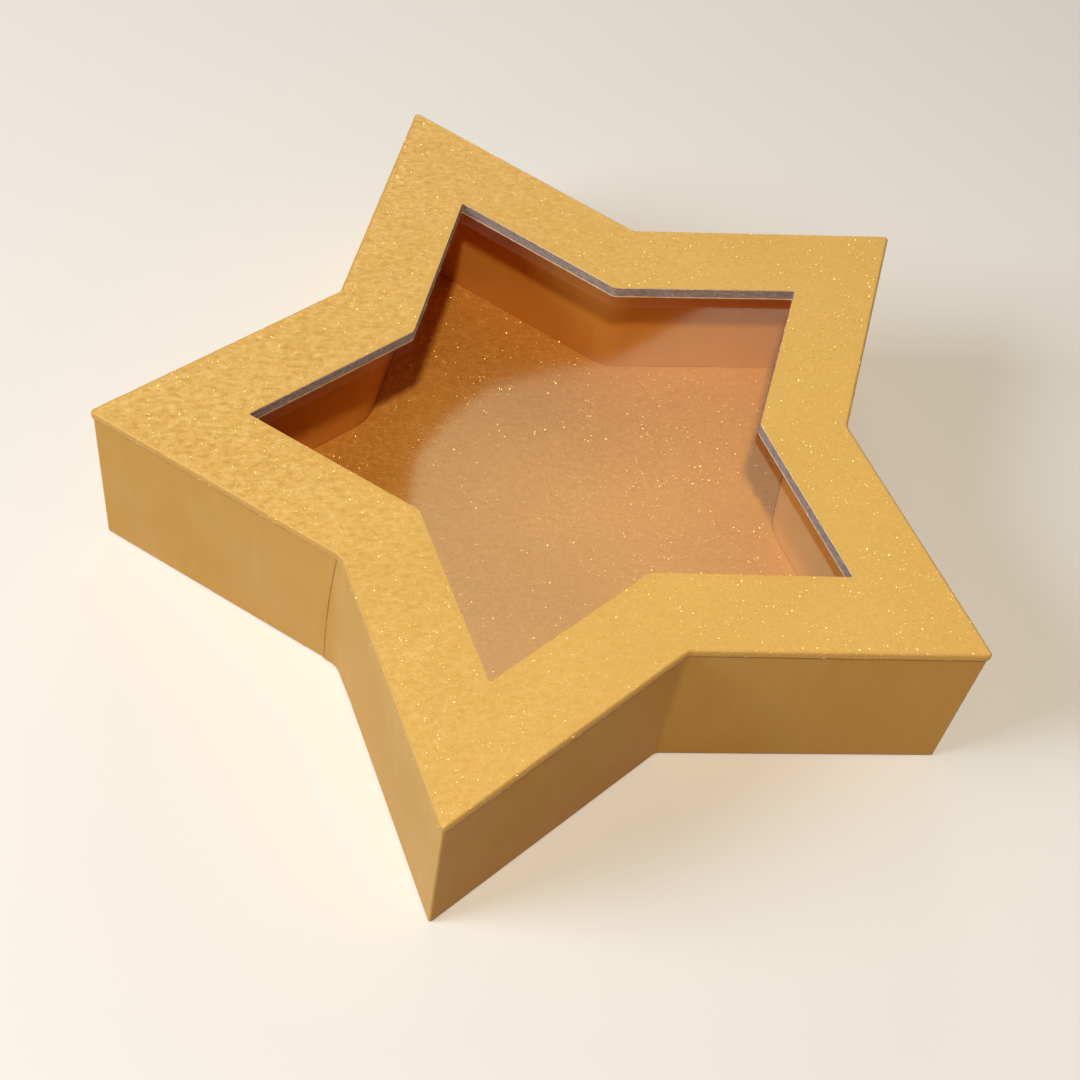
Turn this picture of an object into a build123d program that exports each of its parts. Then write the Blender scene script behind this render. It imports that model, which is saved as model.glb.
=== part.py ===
from build123d import *
from math import atan2, cos, degrees, pi, sin, tan
import os

# A star-shaped gift box in two parts. The tray is a wrapped greyboard star that stands
# on the table. The lid is a second wrapped star that slides over it and covers its walls
# down to the table, and a clear film closes the star window in the lid's top.
# Units are millimetres and +Z is up. The origin is the centre of the star on the table,
# and one tip points along +Y. Outlines are given by their inset, which is the distance
# from the outer face of the lid's wrapping paper towards the middle.

# Star outline, as sharp corners on the outer face of the lid
star_points = 5
lid_tip_radius = 94.5
lid_valley_radius = 57.2
tip_round = 0.5
valley_round = 2.5

# Height of the closed box, and the frame round the window
box_height = 39.8
window_border = 17.2
window_tip_round = 0.3
window_valley_round = 2.0

# Sheet materials
board_thickness = 2.4
wrap_thickness = 0.25
glitter_thickness = 0.3
lining_thickness = 0.2
film_thickness = 0.2
bottom_paper_thickness = 0.2
glue_gap = 0.05

# Clearances
lid_clearance = 1.8
seat_gap = 0.2
lid_ground_gap = 0.4
floor_paper_gap = 0.25

# Folded and glued edges
top_turn_down = 1.6
top_edge_round = 0.6
board_edge_chamfer = 0.15
wrap_edge_chamfer = 0.1
wrap_top_drop = 0.4
lid_turn_in = 14.0
tray_turn_under = 10.0
film_lap = 6.0
bottom_paper_margin = 1.5
butt_gap = 0.3
butt_slot_length = 15.0

# Overlap of the lid's wrapping paper, at one valley of the star. Corners are numbered
# clockwise from the tip on +Y, so the valleys are the odd ones.
seam_valley_index = 7
tray_seam_valley_index = 3
seam_lap_top = 0.7
seam_lap_middle = 2.4
seam_lap_bottom = 3.0
seam_middle_share = 0.5
seam_bridge_round = 5.0
seam_taper_length = 7.0

# Two heights nearer than this are the same
level_tolerance = 1e-4

# Directions of the star's corners and the distance of its straight edges
sector = pi / star_points
tip_half_angle = atan2(
    lid_valley_radius * sin(sector),
    lid_tip_radius - lid_valley_radius * cos(sector),
)
valley_half_turn = pi / 2 - sector - tip_half_angle
edge_distance = lid_tip_radius * sin(tip_half_angle)

# Insets of the lid's wall, from its outer face inwards
lid_board_inset = wrap_thickness + glue_gap
lid_board_inner = lid_board_inset + board_thickness
lid_inner_inset = lid_board_inner + glue_gap + wrap_thickness
top_paper_inner = -glue_gap
top_paper_outer = top_paper_inner - glitter_thickness

# Lengths of the seam's lap along the walls, from the valley
seam_bridge_reach = seam_bridge_round * tan(valley_half_turn)
seam_reach = seam_bridge_reach + seam_taper_length

# Insets of the tray's wall, from its outer face inwards
tray_inset = lid_inner_inset + lid_clearance
tray_board_inset = tray_inset + wrap_thickness + glue_gap
tray_board_inner = tray_board_inset + board_thickness
tray_inner_inset = tray_board_inner + glue_gap + wrap_thickness
tray_flap_inset = tray_inset + tray_turn_under

# Heights in the lid, from the top down
lid_board_top = box_height - glitter_thickness
lid_board_bottom = lid_board_top - board_thickness
lining_bottom = lid_board_bottom - lining_thickness
film_bottom = lining_bottom - film_thickness
top_paper_bottom = box_height - top_turn_down
lid_wrap_top = lid_board_top - wrap_top_drop
lid_wall_bottom = lid_ground_gap + wrap_thickness + glue_gap

# Heights in the tray, from the table up
flap_top = bottom_paper_thickness + wrap_thickness
tray_board_top = flap_top + board_thickness
floor_top = tray_board_top + glitter_thickness
tray_rim_top = lining_bottom - seat_gap
tray_wall_top = tray_rim_top - wrap_thickness


def corner_point(index, inset=0.0, along=0.0):
    """A corner of the star, moved along the edge to the next corner."""
    scale = 1 - inset / edge_distance
    reach = lid_tip_radius if index % 2 == 0 else lid_valley_radius
    next_reach = lid_valley_radius if index % 2 == 0 else lid_tip_radius
    angle = pi / 2 - index * sector
    start = Vector(reach * cos(angle), reach * sin(angle)) * scale
    end = Vector(next_reach * cos(angle - sector), next_reach * sin(angle - sector)) * scale
    return start + (end - start).normalized() * along


def star_face(inset, tip_radius=0.0, valley_radius=None):
    """The lid's star outline moved in by inset, its valleys folded round one centre."""
    if valley_radius is None:
        valley_radius = valley_round + inset
    corners = [corner_point(index, inset) for index in range(2 * star_points)]
    radii = [tip_radius, valley_radius] * star_points
    return make_face(FilletPolyline(*corners, radius=radii, close=True))


def star_prism(inset, bottom, top, tip_radius=0.0, valley_radius=None):
    """A star-shaped plate or block between two heights."""
    face = star_face(inset, tip_radius, valley_radius)
    return Pos(0, 0, bottom) * extrude(face, amount=top - bottom)


def folded_ring(outer, inner, bottom, top, face_inset):
    """A strip folded round the star. Its tips are rounded about the wrapped face."""
    outer_round = max(tip_round - (outer - face_inset), 0)
    inner_round = max(tip_round - (inner - face_inset), 0)
    block = star_prism(outer, bottom, top, outer_round)
    return block - star_prism(inner, bottom, top, inner_round)


def butt_joint(valley, inset, top):
    """The narrow gap where the two ends of a folded board strip meet."""
    middle = corner_point(valley, inset)
    angle = degrees(pi / 2 - valley * sector)
    slot = Box(butt_slot_length, butt_gap, 2 * top)
    return Pos(middle.X, middle.Y, 0) * Rot(0, 0, angle) * slot


def window_cut(bottom, top):
    """The star window, cut through everything between two heights."""
    return star_prism(window_border, bottom, top, window_tip_round, window_valley_round)


def edges_at(solid, height):
    """The level edges of a star block at one height."""
    edges = [edge for edge in solid.edges() if abs(edge.center().Z - height) < level_tolerance]
    return [edge for edge in edges if edge.bounding_box().size.Z < level_tolerance]


def make_lid_top_board():
    """The greyboard star with its window. Its cut edge shows in the window."""
    board = star_prism(
        lid_board_inset, lid_board_bottom, lid_board_top, tip_round - lid_board_inset
    )
    board = chamfer(edges_at(board, lid_board_top), board_edge_chamfer)
    return board - window_cut(lid_board_bottom, lid_board_top)


def make_lid_wall_board():
    """The folded greyboard strip under the edge of the lid's top."""
    ring = folded_ring(lid_board_inset, lid_board_inner, lid_wall_bottom, lid_board_bottom, 0)
    return ring - butt_joint(seam_valley_index, lid_board_inset, lid_board_bottom)


def make_lid_top_paper():
    """The glitter paper on top, turned down over the edge and cut out at the window."""
    sheet = star_prism(
        top_paper_outer, top_paper_bottom, box_height, tip_round - top_paper_outer
    )
    sheet = fillet(edges_at(sheet, box_height), top_edge_round)
    hollow = star_prism(
        top_paper_inner, top_paper_bottom, lid_board_top, tip_round - top_paper_inner
    )
    hollow = chamfer(edges_at(hollow, lid_board_top), board_edge_chamfer)
    return sheet - hollow - window_cut(lid_board_top, box_height)


def seam_side():
    """The part of space that the overlapping end of the wrap covers, in plan and height."""
    valley = corner_point(seam_valley_index)
    along = corner_point(seam_valley_index + 1) - valley
    wall = Plane(origin=valley, x_dir=along, z_dir=along.cross(Vector(0, 0, 1)))
    height = top_paper_bottom - lid_ground_gap
    low = (seam_lap_bottom, lid_ground_gap)
    middle = (seam_lap_middle, lid_ground_gap + height * seam_middle_share)
    high = (seam_lap_top, top_paper_bottom)
    outline = Spline(low, middle, high) + Polyline(
        high, (-seam_reach, top_paper_bottom), (-seam_reach, lid_ground_gap), low
    )
    return extrude(wall * make_face(outline), amount=seam_reach, both=True)


def make_seam_lap():
    """The lapped end of the wrap: one sheet proud of the wall, bridging the valley."""
    sunk = wrap_thickness / 2
    start = corner_point(seam_valley_index, -wrap_thickness, seam_reach)
    valley = corner_point(seam_valley_index, -wrap_thickness)
    towards = corner_point(seam_valley_index - 1) - corner_point(seam_valley_index)
    end = corner_point(seam_valley_index) + towards.normalized() * seam_reach
    inner = corner_point(seam_valley_index, sunk)
    inner_start = corner_point(seam_valley_index, sunk, seam_reach)
    proud = FilletPolyline(start, valley, end, radius=seam_bridge_round)
    back = FilletPolyline(end, inner, inner_start, radius=valley_round + sunk)
    back += Line(inner_start, start)
    bottom = lid_ground_gap + wrap_edge_chamfer
    lap = extrude(make_face(proud + back), amount=top_paper_bottom - glue_gap - bottom)
    return (Pos(0, 0, bottom) * lap) & seam_side()


def make_lid_side_paper():
    """The plain gold wrap of the lid's walls, turned in under the rim."""
    turn_in_top = lid_ground_gap + lid_turn_in
    wrap = star_prism(0, lid_ground_gap, lid_wrap_top, tip_round)
    wrap = chamfer(edges_at(wrap, lid_ground_gap), wrap_edge_chamfer)
    inside = folded_ring(
        wrap_thickness, lid_inner_inset - wrap_thickness, lid_ground_gap + wrap_thickness,
        lid_wrap_top, 0
    )
    wrap = wrap - inside - star_prism(lid_inner_inset, lid_ground_gap, lid_wrap_top)
    above = star_prism(lid_inner_inset - wrap_thickness, turn_in_top, lid_wrap_top)
    return wrap - above + make_seam_lap()


def make_lid_lining_paper():
    """The thin paper that lines the underside of the lid's top."""
    sheet = star_prism(lid_inner_inset, lining_bottom, lid_board_bottom)
    return sheet - window_cut(lining_bottom, lid_board_bottom)


def make_window_film():
    """The clear film glued under the lining, lapping the window all round."""
    return star_prism(window_border - film_lap, film_bottom, lining_bottom)


def make_tray_bottom_board():
    """The greyboard star under the tray's walls."""
    return star_prism(
        tray_board_inset, flap_top, tray_board_top, tip_round - wrap_thickness - glue_gap
    )


def make_tray_wall_board():
    """The folded greyboard strip that stands on the tray's bottom."""
    ring = folded_ring(
        tray_board_inset, tray_board_inner, tray_board_top, tray_wall_top, tray_inset
    )
    return ring - butt_joint(tray_seam_valley_index, tray_board_inset, tray_wall_top)


def make_tray_side_paper():
    """The plain gold wrap of the tray: up the outside, over the rim and down the inside."""
    outside = folded_ring(
        tray_inset, tray_inset + wrap_thickness, bottom_paper_thickness, tray_rim_top, tray_inset
    )
    rim = folded_ring(tray_inset, tray_inner_inset, tray_wall_top, tray_rim_top, tray_inset)
    inside = folded_ring(
        tray_inner_inset - wrap_thickness, tray_inner_inset, tray_board_top, tray_rim_top,
        tray_inset
    )
    flap = folded_ring(
        tray_inset, tray_flap_inset, bottom_paper_thickness, flap_top, tray_inset
    )
    return outside + rim + inside + flap


def make_tray_floor_paper():
    """The glitter paper laid on the tray's floor."""
    return star_prism(tray_inner_inset + floor_paper_gap, tray_board_top, floor_top)


def make_tray_bottom_paper():
    """The paper glued under the tray. Its middle fills the step inside the wrap's flap."""
    sheet = star_prism(tray_inset + bottom_paper_margin, 0, bottom_paper_thickness)
    return sheet + star_prism(tray_flap_inset, bottom_paper_thickness, flap_top)


pieces = {
    "lid_top_board": make_lid_top_board,
    "lid_wall_board": make_lid_wall_board,
    "lid_top_paper": make_lid_top_paper,
    "lid_side_paper": make_lid_side_paper,
    "lid_lining_paper": make_lid_lining_paper,
    "window_film": make_window_film,
    "tray_bottom_board": make_tray_bottom_board,
    "tray_wall_board": make_tray_wall_board,
    "tray_side_paper": make_tray_side_paper,
    "tray_floor_paper": make_tray_floor_paper,
    "tray_bottom_paper": make_tray_bottom_paper,
}

os.makedirs("parts", exist_ok=True)
for name, make_piece in pieces.items():
    export_step(make_piece(), f"parts/{name}.step")
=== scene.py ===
"""Dress the star box: a wrapped star tray inside a full-depth star lid with a clear window.

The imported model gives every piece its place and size. This script builds the glitter
papers, the torn fibres along the cut edges and every finish, then the table, the lamps
and the camera. All lengths are in metres, and +Z is up.
"""

import logging
import math
from dataclasses import dataclass
from enum import Enum

import bpy
import numpy as np
from mathutils import Euler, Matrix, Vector


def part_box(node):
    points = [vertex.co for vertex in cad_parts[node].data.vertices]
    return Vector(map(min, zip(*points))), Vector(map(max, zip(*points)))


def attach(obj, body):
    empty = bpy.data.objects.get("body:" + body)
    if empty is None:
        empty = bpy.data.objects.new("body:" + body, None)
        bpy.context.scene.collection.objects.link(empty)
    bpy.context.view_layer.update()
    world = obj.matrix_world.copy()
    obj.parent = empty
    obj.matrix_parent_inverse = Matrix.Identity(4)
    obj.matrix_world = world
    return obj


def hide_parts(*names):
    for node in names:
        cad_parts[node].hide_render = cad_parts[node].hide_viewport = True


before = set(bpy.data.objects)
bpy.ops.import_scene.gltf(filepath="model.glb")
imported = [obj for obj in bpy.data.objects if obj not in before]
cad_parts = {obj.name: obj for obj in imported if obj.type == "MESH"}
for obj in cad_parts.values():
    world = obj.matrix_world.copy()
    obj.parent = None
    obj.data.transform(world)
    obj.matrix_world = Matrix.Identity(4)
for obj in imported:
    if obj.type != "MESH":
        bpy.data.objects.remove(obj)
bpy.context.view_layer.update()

LOG = logging.getLogger("star_box")
MM = 0.001
CRUMPLED_WAY = (-0.8, 0.6, 0.0)   # the paper is most crumpled towards this side
CORNER_STEPS = 6                  # steps round each corner of a sheet
BLACK = (0.0, 0.0, 0.0, 1.0)

Socket = bpy.types.NodeSocket
Value = Socket | float | tuple
Point = tuple[float, float, float]


def rgb(red: int, green: int, blue: int) -> tuple[float, float, float, float]:
    """A colour given in 0 to 255 display values, as linear values.

    Args:
        red: Red.
        green: Green.
        blue: Blue.

    Returns:
        Linear red, green, blue and an alpha of 1.
    """
    def linear(value: int) -> float:
        """One display value as a linear one."""
        share = value / 255
        return share / 12.92 if share <= 0.04045 else ((share + 0.055) / 1.055) ** 2.4

    return linear(red), linear(green), linear(blue), 1.0


# Star geometry


@dataclass(frozen=True)
class SectionPoint:
    """One point of a sheet's cross-section.

    Attributes:
        inset: Distance from the star's outline towards the middle.
        height: Height above the table.
        relief: Share of the paper's relief, from 0 to 1.
        tip_round: Radius at the tips.
        valley_round: Radius at the valleys.
    """

    inset: float
    height: float
    relief: float
    tip_round: float
    valley_round: float


@dataclass(frozen=True)
class StarOutline:
    """The lid's star outline, by its sharp corners on the outer face of the wrap.

    Attributes:
        tip_radius: Distance of a sharp tip from the centre.
        valley_radius: Distance of a sharp valley from the centre.
        points: Number of tips.
        tip_round: Radius of the wrapped tips.
        valley_round: Radius of the folded valleys.
    """

    tip_radius: float = 94.5 * MM
    valley_radius: float = 57.2 * MM
    points: int = 5
    tip_round: float = 0.5 * MM
    valley_round: float = 2.5 * MM

    @property
    def sector(self) -> float:
        """Angle from a tip to the next valley."""
        return math.pi / self.points

    @property
    def tip_half_angle(self) -> float:
        """Half of the angle between the two edges of a tip."""
        across = self.valley_radius * math.sin(self.sector)
        return math.atan2(across, self.tip_radius - self.valley_radius * math.cos(self.sector))

    @property
    def edge_distance(self) -> float:
        """Distance of every straight edge from the centre."""
        return self.tip_radius * math.sin(self.tip_half_angle)

    def corner(self, index: int, inset: float = 0.0) -> Vector:
        """A sharp corner of the outline moved in by inset.

        Args:
            index: Corner number, clockwise from the tip on +Y. Even ones are tips.
            inset: Distance from the outline towards the middle.

        Returns:
            The corner in the plane of the star.
        """
        reach = self.tip_radius if index % 2 == 0 else self.valley_radius
        reach *= 1 - inset / self.edge_distance
        angle = math.pi / 2 - index * self.sector
        return Vector((reach * math.cos(angle), reach * math.sin(angle)))

    def corner_arc(self, index: int, inset: float, radius: float, steps: int) -> list[Vector]:
        """Points round one corner.

        Args:
            index: Corner number.
            inset: Distance from the outline towards the middle.
            radius: Radius of the corner.
            steps: Number of steps in the arc.

        Returns:
            The points of the arc, clockwise about the star's centre.
        """
        corner = self.corner(index, inset)
        before = (self.corner(index - 1, inset) - corner).normalized()
        after = (self.corner(index + 1, inset) - corner).normalized()
        half_angle = before.angle(after) / 2
        centre = corner + (before + after).normalized() * (radius / math.sin(half_angle))
        start = corner + before * (radius / math.tan(half_angle)) - centre
        end = corner + after * (radius / math.tan(half_angle)) - centre
        first = math.atan2(start.y, start.x)
        turn = math.atan2(end.y, end.x) - first
        turn = (turn + math.pi) % (2 * math.pi) - math.pi
        angles = [first + turn * step / steps for step in range(steps + 1)]
        return [centre + Vector((math.cos(a), math.sin(a))) * radius for a in angles]

    def ring(self, point: SectionPoint, per_edge: int, per_corner: int) -> list[Point]:
        """Points round the outline, the same number whatever the inset.

        Args:
            point: Inset, height and corner radii of the ring.
            per_edge: Steps along each straight edge.
            per_corner: Steps round each corner.

        Returns:
            The points, clockwise from the middle of the tip on +Y.
        """
        radii = (point.tip_round, point.valley_round)
        arcs = [self.corner_arc(index, point.inset, radii[index % 2], per_corner)
                for index in range(2 * self.points)]
        flat: list[Vector] = []
        for arc, following in zip(arcs, arcs[1:] + arcs[:1]):
            flat.extend(arc)
            flat.extend(arc[-1].lerp(following[0], step / per_edge) for step in range(1, per_edge))
        return [(place.x, place.y, point.height) for place in flat]

    def offset(self, inset: float, height: float, relief: float = 0.0) -> SectionPoint:
        """A section point whose corner radii follow its inset.

        Args:
            inset: Distance from the outline towards the middle.
            height: Height above the table.
            relief: Share of the paper's relief.

        Returns:
            The point.
        """
        return SectionPoint(inset, height, relief, self.tip_round - inset,
                            self.valley_round + inset)


# Node building


class NodeSketch:
    """A short way to place nodes in a tree and to join them."""

    def __init__(self, tree: bpy.types.NodeTree) -> None:
        """Keep the tree that the nodes go in."""
        self.tree = tree

    def add(self, kind: str, settings: dict | None = None, **inputs: Value) -> bpy.types.Node:
        """Place one node.

        Args:
            kind: Blender's identifier of the node.
            settings: Properties of the node, set before its inputs.
            inputs: Values or sockets for its inputs, as fill takes them.

        Returns:
            The new node.
        """
        node = self.tree.nodes.new(kind)
        for name, value in (settings or {}).items():
            setattr(node, name, value)
        self.fill(node, **inputs)
        return node

    def fill(self, node: bpy.types.Node, **inputs: Value) -> None:
        """Link or set inputs of a node.

        Args:
            node: The node.
            inputs: A socket to link or a value to set, by the input's name with
                underscores for spaces, or by its place as in0, in1 and so on.
        """
        for name, value in inputs.items():
            if name.startswith("in") and name[2:].isdigit():
                socket = node.inputs[int(name[2:])]
            else:
                wanted = name.replace("_", " ")
                socket = next(s for s in node.inputs if s.name == wanted and s.enabled)
            if isinstance(value, Socket):
                self.tree.links.new(value, socket)
            else:
                socket.default_value = value

    def value(self, kind: str, settings: dict | None = None, **inputs: Value) -> Socket:
        """Place one node and give the first of its outputs in use."""
        return next(s for s in self.add(kind, settings, **inputs).outputs if s.enabled)

    def math(self, operation: str, *values: Value) -> Socket:
        """Place a Math node with its values in order, and give its output."""
        places = {f"in{place}": value for place, value in enumerate(values)}
        return self.value("ShaderNodeMath", {"operation": operation}, **places)

    def times(self, first: Value, second: Value) -> Socket:
        """The product of two values."""
        return self.math("MULTIPLY", first, second)

    def plus(self, first: Value, second: Value) -> Socket:
        """The sum of two values."""
        return self.math("ADD", first, second)

    def minus(self, first: Value, second: Value) -> Socket:
        """One value less another."""
        return self.math("SUBTRACT", first, second)

    def one_over(self, value: Value) -> Socket:
        """One divided by a value."""
        return self.math("DIVIDE", 1.0, value)

    def vector(self, operation: str, first: Value, **inputs: Value) -> Socket:
        """Place a Vector Math node and give its output in use."""
        return self.value("ShaderNodeVectorMath", {"operation": operation}, in0=first, **inputs)

    def span(self, value: Value, low: float, high: float, to_low: float = 0.0,
             to_high: float = 1.0) -> Socket:
        """Bring a value from one range to another, without leaving it.

        Args:
            value: The socket to read.
            low: Value that becomes to_low.
            high: Value that becomes to_high.
            to_low: New low end.
            to_high: New high end.

        Returns:
            The output socket.
        """
        return self.value("ShaderNodeMapRange", Value=value, From_Min=low, From_Max=high,
                          To_Min=to_low, To_Max=to_high)

    def noise(self, vector: Value, scale: Value, detail: float = 2.0, roughness: float = 0.5,
              distortion: float = 0.0) -> Socket:
        """Place a Noise Texture node and give its value.

        Args:
            vector: The coordinates.
            scale: Size of the pattern, in cells for each metre.
            detail: Number of finer layers.
            roughness: Strength of the finer layers.
            distortion: Amount of distortion.

        Returns:
            The noise value, about 0.5 on average.
        """
        return self.value("ShaderNodeTexNoise", Vector=vector, Scale=scale, Detail=detail,
                          Roughness=roughness, Distortion=distortion)

    def ridge(self, noise: Socket, width: float) -> Socket:
        """Thin ridges, 1 where a noise passes through its middle and 0 beyond a width."""
        return self.span(self.math("ABSOLUTE", self.minus(noise, 0.5)), 0.0, width, 1.0, 0.0)

    def draw_out(self, place: Socket, angle: Value, stretch: Value) -> tuple[Socket, Socket]:
        """Turn coordinates about Z, and draw a pattern out along their new X.

        Args:
            place: The coordinates.
            angle: The turn.
            stretch: How many times longer the pattern gets.

        Returns:
            The turned coordinates, and the turned and drawn out ones.
        """
        turned = self.value("ShaderNodeVectorRotate", {"rotation_type": "Z_AXIS"},
                            Vector=place, Angle=angle)
        ratio = self.value("ShaderNodeCombineXYZ", X=self.one_over(stretch), Y=1.0, Z=1.0)
        return turned, self.vector("MULTIPLY", turned, in1=ratio)

    def coats(self, colour: Value, *coats: tuple[Value, Value]) -> Socket:
        """Mix colours over a first one, in order.

        Args:
            colour: The first colour or socket.
            coats: For each coat its share and its colour.

        Returns:
            The mixed colour.
        """
        for share, coat in coats:
            colour = self.value("ShaderNodeMix", {"data_type": "RGBA"}, Factor=share,
                                A=colour, B=coat)
        return colour

    def object_place(self) -> Socket:
        """The object's own coordinates."""
        return self.add("ShaderNodeTexCoord").outputs["Object"]


# Shader groups that several finishes share


class SharedGroups:
    """The shader node groups, each built once."""

    def __init__(self, outline: StarOutline) -> None:
        """Build the groups.

        Args:
            outline: The star that the edge group measures from.
        """
        self.edge = self.build_edge_group(outline)
        self.grain = self.build_grain_group()

    @staticmethod
    def new_group(name: str, inputs: dict[str, float], outputs: list[str]) -> NodeSketch:
        """Start a group whose inputs and outputs are plain numbers.

        Args:
            name: The group's name.
            inputs: Input names and their defaults.
            outputs: Output names.

        Returns:
            A sketch on the group's tree.
        """
        tree = bpy.data.node_groups.new(name, "ShaderNodeTree")
        for label, value in inputs.items():
            socket = tree.interface.new_socket(label, in_out="INPUT", socket_type="NodeSocketFloat")
            socket.default_value = value
        for label in outputs:
            tree.interface.new_socket(label, in_out="OUTPUT", socket_type="NodeSocketFloat")
        return NodeSketch(tree)

    def build_edge_group(self, outline: StarOutline) -> bpy.types.NodeTree:
        """Distances from the star's outline, worked out from the object's own coordinates.

        Args:
            outline: The star.

        Returns:
            A group that gives the inset, the place along the edge and the height.
        """
        sketch = self.new_group("star_distances", {}, ["Inset", "Along", "Height"])
        split = sketch.add("ShaderNodeSeparateXYZ", in0=sketch.object_place())
        x, y, z = split.outputs
        reach = sketch.math("SQRT", sketch.plus(sketch.times(x, x), sketch.times(y, y)))
        around = sketch.plus(sketch.math("ARCTAN2", x, y), outline.sector)
        folded = sketch.math("FLOORED_MODULO", around, 2 * outline.sector)
        folded = sketch.math("ABSOLUTE", sketch.minus(folded, outline.sector))
        angle = sketch.plus(folded, outline.tip_half_angle)
        inset = sketch.minus(outline.edge_distance,
                             sketch.times(reach, sketch.math("SINE", angle)))
        along = sketch.minus(outline.tip_radius * math.cos(outline.tip_half_angle),
                             sketch.times(reach, sketch.math("COSINE", angle)))
        sketch.add("NodeGroupOutput", Inset=inset, Along=along, Height=z)
        return sketch.tree

    def build_grain_group(self) -> bpy.types.NodeTree:
        """Paper grain: fine fibres, soft lumps, thin crumpled ridges and a slow tone.

        Returns:
            A group that gives fibres, lumps and tone, each about 0.5 on average, and
            ridges from 0 to 1.
        """
        inputs = {"Fibre Size": 0.4 * MM, "Fibre Stretch": 4.0, "Lump Size": 3.0 * MM,
                  "Ridge Size": 2.0 * MM, "Direction": 0.0}
        sketch = self.new_group("paper_grain", inputs, ["Fibres", "Lumps", "Ridges", "Tone"])
        given = sketch.add("NodeGroupInput").outputs
        turned, drawn = sketch.draw_out(sketch.object_place(), given["Direction"],
                                        given["Fibre Stretch"])
        fibres = sketch.noise(drawn, sketch.one_over(given["Fibre Size"]), 3.0, 0.62, 0.6)
        lumps = sketch.noise(drawn, sketch.one_over(given["Lump Size"]), distortion=0.3)
        ridge_scale = sketch.one_over(given["Ridge Size"])
        slant = sketch.vector("MULTIPLY", turned, in1=(0.62, 1.0, 1.0))
        folds = sketch.noise(slant, ridge_scale, 1.5, 0.45, 0.5)
        gaps = sketch.noise(turned, sketch.times(ridge_scale, 0.8), 1.0)
        ridges = sketch.times(sketch.ridge(folds, 0.1), sketch.span(gaps, 0.36, 0.56))
        sketch.add("NodeGroupOutput", Fibres=fibres, Lumps=lumps, Ridges=ridges,
                   Tone=sketch.noise(turned, 45.0))
        return sketch.tree


class SurfaceSketch(NodeSketch):
    """A sketch on a material's tree, with the shared effects at hand."""

    def __init__(self, tree: bpy.types.NodeTree, groups: SharedGroups) -> None:
        """Keep the tree and the groups."""
        super().__init__(tree)
        self.groups = groups

    def grain(self, **values: float) -> bpy.types.bpy_prop_collection:
        """Place the paper grain with this finish's own values, and give its outputs."""
        return self.add("ShaderNodeGroup", {"node_tree": self.groups.grain}, **values).outputs

    def edge(self) -> bpy.types.bpy_prop_collection:
        """Place the distances from the star's outline, and give their outputs."""
        return self.add("ShaderNodeGroup", {"node_tree": self.groups.edge}).outputs

    def bump(self, height: Socket, strength: float, distance: float) -> Socket:
        """The normal of a surface with this height."""
        return self.value("ShaderNodeBump", Strength=strength, Distance=distance, Height=height)


# Finishes


@dataclass(frozen=True)
class Finish:
    """What every finish has: a name, and a surface that its own class works out."""

    name: str

    def build(self, groups: SharedGroups) -> bpy.types.Material:
        """Make the material with its Principled shader and output.

        Args:
            groups: The shared shader groups.

        Returns:
            The material.
        """
        material = bpy.data.materials.new(self.name)
        material.use_nodes = True
        material.node_tree.nodes.clear()
        sketch = SurfaceSketch(material.node_tree, groups)
        shader = sketch.add("ShaderNodeBsdfPrincipled")
        sketch.add("ShaderNodeOutputMaterial", Surface=shader.outputs[0])
        sketch.fill(shader, **self.surface(sketch))
        return material

    def surface(self, sketch: SurfaceSketch) -> dict[str, Value]:
        """Work out the shader's inputs.

        Args:
            sketch: A sketch on the material's tree.

        Returns:
            The shader's inputs by name.
        """
        raise NotImplementedError


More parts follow.
